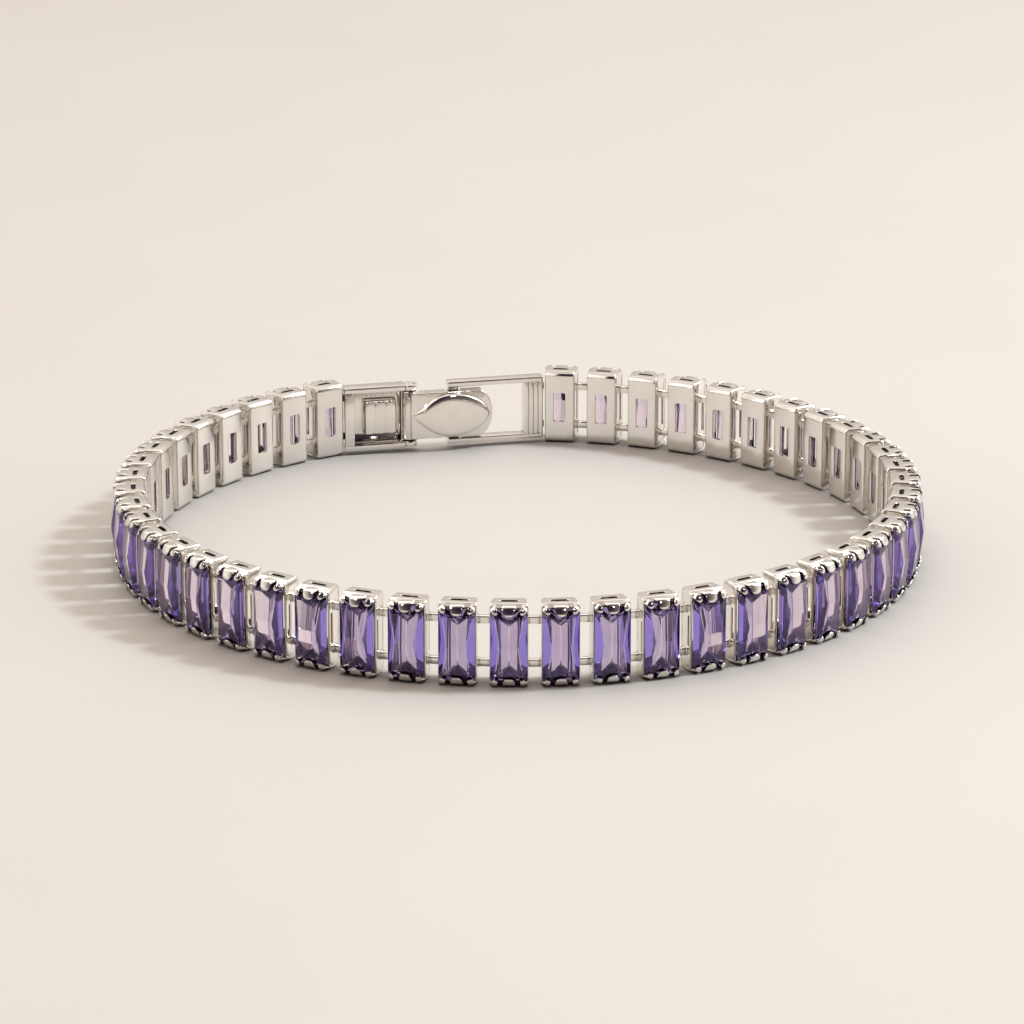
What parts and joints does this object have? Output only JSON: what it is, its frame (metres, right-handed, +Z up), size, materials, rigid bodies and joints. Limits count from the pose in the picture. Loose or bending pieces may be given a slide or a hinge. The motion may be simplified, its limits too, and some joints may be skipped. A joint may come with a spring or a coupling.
{
  "type": "link bracelet",
  "caption": "Line bracelet of violet rectangular cut stones in open claw settings, standing on its edge as a closed loop with a fold-over clasp.",
  "frame": {"origin": "middle of the lower edge's bounding box, on the surface the bracelet stands on", "axes": "+Z up along the stones' long sides, the wrist passes through along Z; +Y towards the clasp; +X to the clasp's catch side, seen from inside the loop looking at the clasp"},
  "size_m": [0.0602, 0.0586, 0.0058],
  "materials": {
    "violet_stone": "polished, clear cut stone",
    "rhodium_plate": "polished rhodium plate on silver"
  },
  "bodies": {
    "chain": {"stone_01": "violet_stone", "stone_02": "violet_stone", "stone_03": "violet_stone", "stone_04": "violet_stone", "stone_05": "violet_stone", "stone_06": "violet_stone", "stone_07": "violet_stone", "stone_08": "violet_stone", "stone_09": "violet_stone", "stone_10": "violet_stone", "stone_11": "violet_stone", "stone_12": "violet_stone", "stone_13": "violet_stone", "stone_14": "violet_stone", "stone_15": "violet_stone", "stone_16": "violet_stone", "stone_17": "violet_stone", "stone_18": "violet_stone", "stone_19": "violet_stone", "stone_20": "violet_stone", "stone_21": "violet_stone", "stone_22": "violet_stone", "stone_23": "violet_stone", "stone_24": "violet_stone", "stone_25": "violet_stone", "stone_26": "violet_stone", "stone_27": "violet_stone", "stone_28": "violet_stone", "stone_29": "violet_stone", "stone_30": "violet_stone", "stone_31": "violet_stone", "stone_32": "violet_stone", "stone_33": "violet_stone", "stone_34": "violet_stone", "stone_35": "violet_stone", "stone_36": "violet_stone", "stone_37": "violet_stone", "stone_38": "violet_stone", "stone_39": "violet_stone", "stone_40": "violet_stone", "stone_41": "violet_stone", "stone_42": "violet_stone", "stone_43": "violet_stone", "stone_44": "violet_stone", "stone_45": "violet_stone", "stone_46": "violet_stone", "stone_47": "violet_stone", "setting_run_1": "rhodium_plate", "setting_run_2": "rhodium_plate", "setting_run_3": "rhodium_plate", "setting_run_4": "rhodium_plate", "setting_run_5": "rhodium_plate", "clasp_end_frame": "rhodium_plate", "clasp_hinge_pin": "rhodium_plate", "clasp_catch_frame": "rhodium_plate"},
    "lever": {"clasp_lever": "rhodium_plate"}
  },
  "joints": [
    {"name": "clasp_lever_hinge", "type": "hinge", "parent": "chain", "child": "lever", "pos_m": [-0.00275, 0.02749, 0.00293], "axis": [0, 0, -1], "range_deg": [0, 90]}
  ]
}
